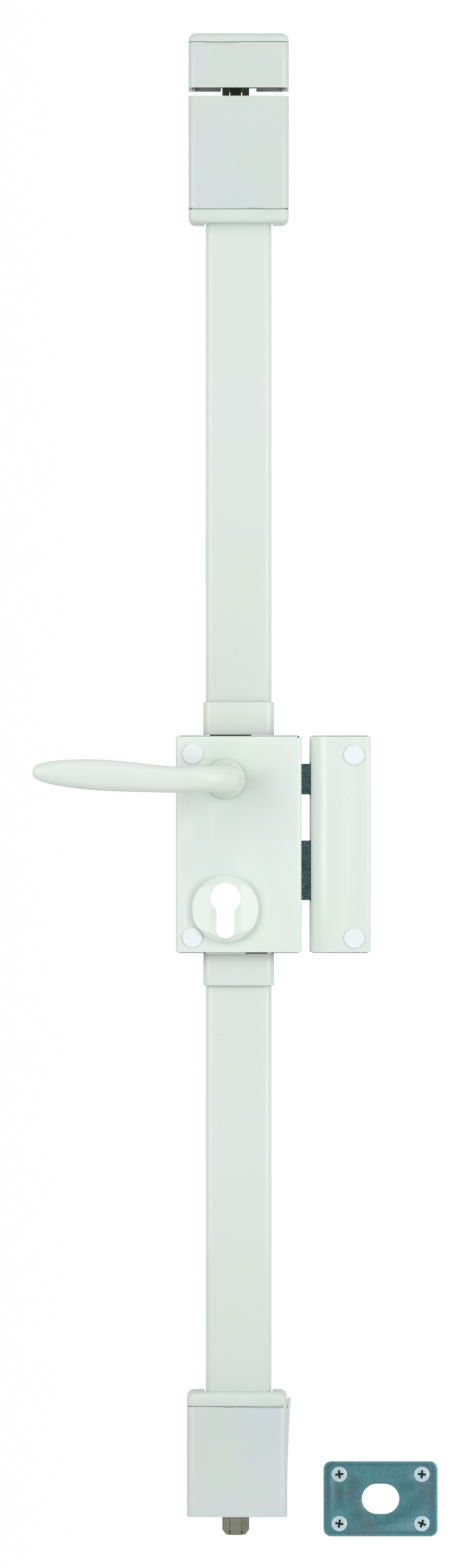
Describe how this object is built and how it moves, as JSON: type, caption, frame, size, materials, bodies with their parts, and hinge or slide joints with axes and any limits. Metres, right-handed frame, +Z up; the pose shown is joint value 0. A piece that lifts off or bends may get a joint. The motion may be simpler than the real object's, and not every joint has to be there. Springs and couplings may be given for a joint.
{
  "type": "multipoint rim lock",
  "caption": "Surface-mounted three-point rim lock: lock case with lever and profile cylinder opening, side keeper, covered rods up and down, end boxes, top strike and floor plate.",
  "frame": {"origin": "centre of the lock case's back, on the door face", "axes": "+X towards the side keeper, +Z up along the rods, the lock stands out towards -Y"},
  "size_m": [0.2384, 0.0923, 0.8884],
  "materials": {
    "white_paint": "powder coated",
    "rosette_paint": "powder coated",
    "moulded_white": "moulded",
    "plug_plastic": "gloss",
    "zinc_sheet": "zinc plated",
    "bolt_zinc": "dark zinc plated",
    "nickel": "nickel plated",
    "plate_zinc": "blue passivated zinc",
    "screw_zinc": "bright zinc",
    "spring_steel": "bright drawn",
    "nylon": "moulded"
  },
  "bodies": {
    "root": {"case_base": "zinc_sheet", "case_cover": "white_paint", "case_cover_screws": "screw_zinc", "case_fixing_sleeves": "zinc_sheet", "case_cap_plugs": "plug_plastic", "fore_end_plate": "zinc_sheet", "cylinder_rosette": "rosette_paint", "pinion_stud": "zinc_sheet", "pinion_clip": "screw_zinc", "spindle_bush": "nylon", "lever_bush": "nylon", "latch_spring_seat": "zinc_sheet", "latch_spring": "spring_steel", "upper_collar": "white_paint", "upper_strip_cover": "white_paint", "upper_rod_guides": "nylon", "lower_collar": "white_paint", "lower_strip_cover": "white_paint", "lower_rod_guides": "nylon", "top_box_base": "zinc_sheet", "top_box_cover": "white_paint", "top_box_cap": "moulded_white", "top_box_screws": "screw_zinc", "bottom_box_base": "zinc_sheet", "bottom_box_cover": "white_paint", "bottom_box_cap": "moulded_white", "bottom_box_screws": "screw_zinc", "top_strike_base": "white_paint", "top_strike_cover": "white_paint", "top_strike_cap": "moulded_white", "top_strike_screws": "screw_zinc", "keeper_base": "zinc_sheet", "keeper_cover": "white_paint", "keeper_screws": "screw_zinc", "keeper_fixing_sleeves": "zinc_sheet", "keeper_cap_plugs": "plug_plastic", "floor_plate": "plate_zinc", "floor_plate_screws": "screw_zinc"},
    "lever": {"lever_handle": "white_paint", "spindle": "spring_steel", "follower": "zinc_sheet", "lever_grub_screw": "screw_zinc"},
    "latch": {"latch_bolt": "bolt_zinc"},
    "dead_bolt": {"dead_bolt": "bolt_zinc", "dead_bolt_tail": "zinc_sheet", "dead_bolt_rivets": "screw_zinc"},
    "pinion": {"transfer_pinion": "zinc_sheet"},
    "upper_rod": {"upper_rack": "zinc_sheet", "upper_rod": "zinc_sheet", "upper_rod_rivets": "screw_zinc", "top_rod_end": "nickel", "top_rod_pin": "screw_zinc"},
    "lower_rod": {"lower_rack": "zinc_sheet", "lower_rod": "zinc_sheet", "lower_rod_rivets": "screw_zinc", "bottom_rod_end": "nickel", "bottom_rod_pin": "screw_zinc"}
  },
  "joints": [
    {"name": "lever_turn", "type": "hinge", "parent": "root", "child": "lever", "pos_m": [-0.0078, -0.032, 0.0384], "axis": [0, -1, 0], "range_deg": [0, 38], "stiffness_Nm_per_rad": 0.6, "springref_deg": -28.65},
    {"name": "latch_slide", "type": "slide", "parent": "root", "child": "latch", "axis": [1, 0, 0], "range_m": [-0.01, 0], "deforming": ["latch_spring"]},
    {"name": "dead_bolt_slide", "type": "slide", "parent": "root", "child": "dead_bolt", "axis": [1, 0, 0], "range_m": [-0.014, 0]},
    {"name": "pinion_turn", "type": "hinge", "parent": "root", "child": "pinion", "pos_m": [0.0012, -0.0125, 0.002], "axis": [0, -1, 0], "range_deg": [0, 89.2]},
    {"name": "upper_rod_slide", "type": "slide", "parent": "root", "child": "upper_rod", "axis": [0, 0, 1], "range_m": [-0.014, 0]},
    {"name": "lower_rod_slide", "type": "slide", "parent": "root", "child": "lower_rod", "axis": [0, 0, -1], "range_m": [-0.014, 0]}
  ],
  "couplings": [
    {"joint": "latch_slide", "follows": "lever_turn", "m_per_rad": -0.015},
    {"joint": "pinion_turn", "follows": "dead_bolt_slide", "rad_per_m": -111.11},
    {"joint": "upper_rod_slide", "follows": "dead_bolt_slide", "ratio": 1},
    {"joint": "lower_rod_slide", "follows": "dead_bolt_slide", "ratio": 1}
  ]
}
